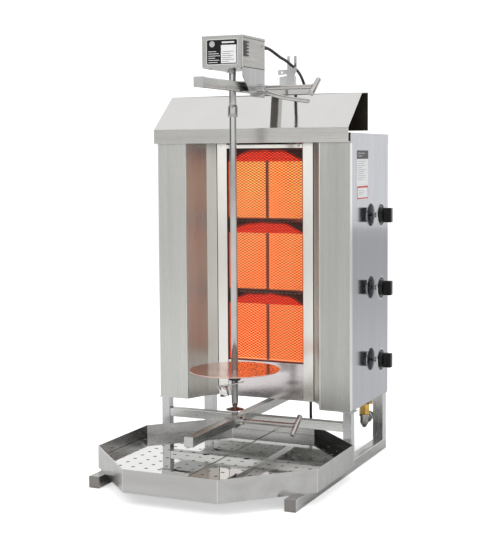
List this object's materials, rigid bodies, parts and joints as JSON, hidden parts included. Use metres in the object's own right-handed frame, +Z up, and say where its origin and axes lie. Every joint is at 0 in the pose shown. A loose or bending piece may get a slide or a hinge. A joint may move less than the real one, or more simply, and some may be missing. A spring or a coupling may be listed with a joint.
{
  "type": "vertical rotisserie grill",
  "caption": "Upright gas gyros grill: stacked infrared burners behind a mesh guard, a motor-driven vertical spit on sliding arms, a deflector hood and an octagonal drip tray.",
  "frame": {"origin": "middle of the footprint on the counter, measured without the mains lead", "axes": "+Z up, +X to the operator's right, the open front with the spit faces -Y"},
  "size_m": [0.5395, 0.7859, 0.965],
  "materials": {
    "frame_steel": "satin square tube",
    "casing_steel": "vertical brushed grain",
    "side_steel": "smooth, half bright",
    "mirror_steel": "bright annealed sheet",
    "tray_steel": "bright sheet",
    "guard_steel": "heat blackened",
    "burner_steel": "plain sheet",
    "glowing_ceramic": "glowing infrared tile",
    "brass": "machined",
    "copper": "drawn tube",
    "nickel": "nickel plated",
    "shaft_steel": "turned bright",
    "clamp_steel": "turned",
    "heat_tinted_steel": "heat tinted",
    "plate_steel": "turned rings",
    "black_plastic": "moulded",
    "motor_steel": "folded sheet",
    "cast_motor": "machined casting",
    "cord_rubber": "smooth sheath"
  },
  "bodies": {
    "grill_body": {"skid_rails": "frame_steel", "tube_caps": "frame_steel", "uprights": "frame_steel", "upright_flanges": "frame_steel", "cross_tubes": "frame_steel", "lower_arm": "frame_steel", "mast_tube": "frame_steel", "arm_receiver": "frame_steel", "upper_arm": "frame_steel", "cable_fork": "frame_steel", "column_left": "casing_steel", "column_right": "casing_steel", "side_panel_left": "side_steel", "side_panel_right": "side_steel", "top_cover": "casing_steel", "hood": "mirror_steel", "rear_panel": "casing_steel", "bottom_panel": "casing_steel", "reflector_left": "mirror_steel", "reflector_right": "mirror_steel", "guard_channels": "mirror_steel", "lower_panel": "mirror_steel", "guard_mesh": "guard_steel", "burner_housings": "burner_steel", "ceramic_tiles": "glowing_ceramic", "burner_deflectors": "guard_steel", "gas_manifold": "burner_steel", "gas_valves": "brass", "feed_pipes": "copper", "inlet_block": "brass", "inlet_elbow": "nickel", "power_cord": "cord_rubber", "cord_coil": "cord_rubber", "mains_plug": "cord_rubber"},
    "lower_carriage": {"spit_saddle": "frame_steel", "foot_bearing": "shaft_steel", "drip_disc": "heat_tinted_steel"},
    "lower_clamp": {"lower_clamp_screw": "clamp_steel"},
    "spit": {"spit": "shaft_steel"},
    "meat_plate": {"meat_plate": "plate_steel"},
    "plate_lock": {"plate_lock": "clamp_steel"},
    "motor_carriage": {"motor_box": "motor_steel", "motor_bracket": "frame_steel", "gear_motor": "cast_motor", "vent_grille": "black_plastic", "pull_handle": "shaft_steel", "cord_gland": "black_plastic"},
    "upper_clamp": {"upper_clamp_screw": "clamp_steel"},
    "drive_shaft": {"drive_shaft": "shaft_steel"},
    "coupler": {"coupler_sleeve": "shaft_steel"},
    "valve_spindle_low": {"valve_spindle_low": "shaft_steel"},
    "valve_spindle_mid": {"valve_spindle_mid": "shaft_steel"},
    "valve_spindle_top": {"valve_spindle_top": "shaft_steel"},
    "burner_knob_low": {"burner_knob_low": "black_plastic"},
    "burner_knob_mid": {"burner_knob_mid": "black_plastic"},
    "burner_knob_top": {"burner_knob_top": "black_plastic"},
    "drip_tray": {"drip_tray": "tray_steel"},
    "insert_left": {"insert_left": "tray_steel"},
    "insert_right": {"insert_right": "tray_steel"}
  },
  "joints": [
    {"name": "motor_slide", "type": "slide", "parent": "grill_body", "child": "motor_carriage", "axis": [0, 1, 0], "range_m": [-0.15, 0.06], "deforming": ["power_cord"]},
    {"name": "foot_slide", "type": "slide", "parent": "grill_body", "child": "lower_carriage", "axis": [0, 1, 0], "range_m": [-0.15, 0.06]},
    {"name": "upper_clamp_turn", "type": "hinge", "parent": "motor_carriage", "child": "upper_clamp", "pos_m": [0.10075, 0.01225, 0.8565], "axis": [1, 0, 0], "range_deg": [0, 360]},
    {"name": "lower_clamp_turn", "type": "hinge", "parent": "lower_carriage", "child": "lower_clamp", "pos_m": [0.06875, -0.02475, 0.1195], "axis": [1, 0, 0], "range_deg": [0, 360]},
    {"name": "spit_spin", "type": "hinge", "parent": "lower_carriage", "child": "spit", "pos_m": [-0.01025, -0.02475, 0.45], "axis": [0, 0, 1], "continuous": true},
    {"name": "drive_spin", "type": "hinge", "parent": "motor_carriage", "child": "drive_shaft", "pos_m": [-0.01025, -0.02475, 0.86], "axis": [0, 0, 1], "continuous": true},
    {"name": "coupler_lift", "type": "slide", "parent": "drive_shaft", "child": "coupler", "axis": [0, 0, 1], "range_m": [0, 0.02]},
    {"name": "plate_slide", "type": "slide", "parent": "spit", "child": "meat_plate", "axis": [0, 0, 1], "range_m": [-0.02, 0.4]},
    {"name": "lock_tilt", "type": "hinge", "parent": "meat_plate", "child": "plate_lock", "pos_m": [-0.01025, -0.02475, 0.202], "axis": [0, 1, 0], "range_deg": [0, 7]},
    {"name": "valve_press_low", "type": "slide", "parent": "grill_body", "child": "valve_spindle_low", "axis": [-1, 0, 0], "range_m": [0, 0.003], "stiffness_N_per_m": 800},
    {"name": "knob_turn_low", "type": "hinge", "parent": "valve_spindle_low", "child": "burner_knob_low", "pos_m": [0.24975, 0.24075, 0.2295], "axis": [1, 0, 0], "range_deg": [0, 210]},
    {"name": "valve_press_mid", "type": "slide", "parent": "grill_body", "child": "valve_spindle_mid", "axis": [-1, 0, 0], "range_m": [0, 0.003], "stiffness_N_per_m": 800},
    {"name": "knob_turn_mid", "type": "hinge", "parent": "valve_spindle_mid", "child": "burner_knob_mid", "pos_m": [0.24975, 0.24075, 0.3995], "axis": [1, 0, 0], "range_deg": [0, 210]},
    {"name": "valve_press_top", "type": "slide", "parent": "grill_body", "child": "valve_spindle_top", "axis": [-1, 0, 0], "range_m": [0, 0.003], "stiffness_N_per_m": 800},
    {"name": "knob_turn_top", "type": "hinge", "parent": "valve_spindle_top", "child": "burner_knob_top", "pos_m": [0.24975, 0.24075, 0.5695], "axis": [1, 0, 0], "range_deg": [0, 210]},
    {"name": "tray_slide", "type": "slide", "parent": "grill_body", "child": "drip_tray", "axis": [0, -1, 0], "range_m": [0, 0.4]},
    {"name": "insert_left_lift", "type": "slide", "parent": "drip_tray", "child": "insert_left", "axis": [0, 0, 1], "range_m": [0, 0.04]},
    {"name": "insert_right_lift", "type": "slide", "parent": "drip_tray", "child": "insert_right", "axis": [0, 0, 1], "range_m": [0, 0.04]}
  ],
  "couplings": [
    {"joint": "foot_slide", "follows": "motor_slide", "ratio": 1},
    {"joint": "drive_spin", "follows": "spit_spin", "ratio": 1}
  ]
}
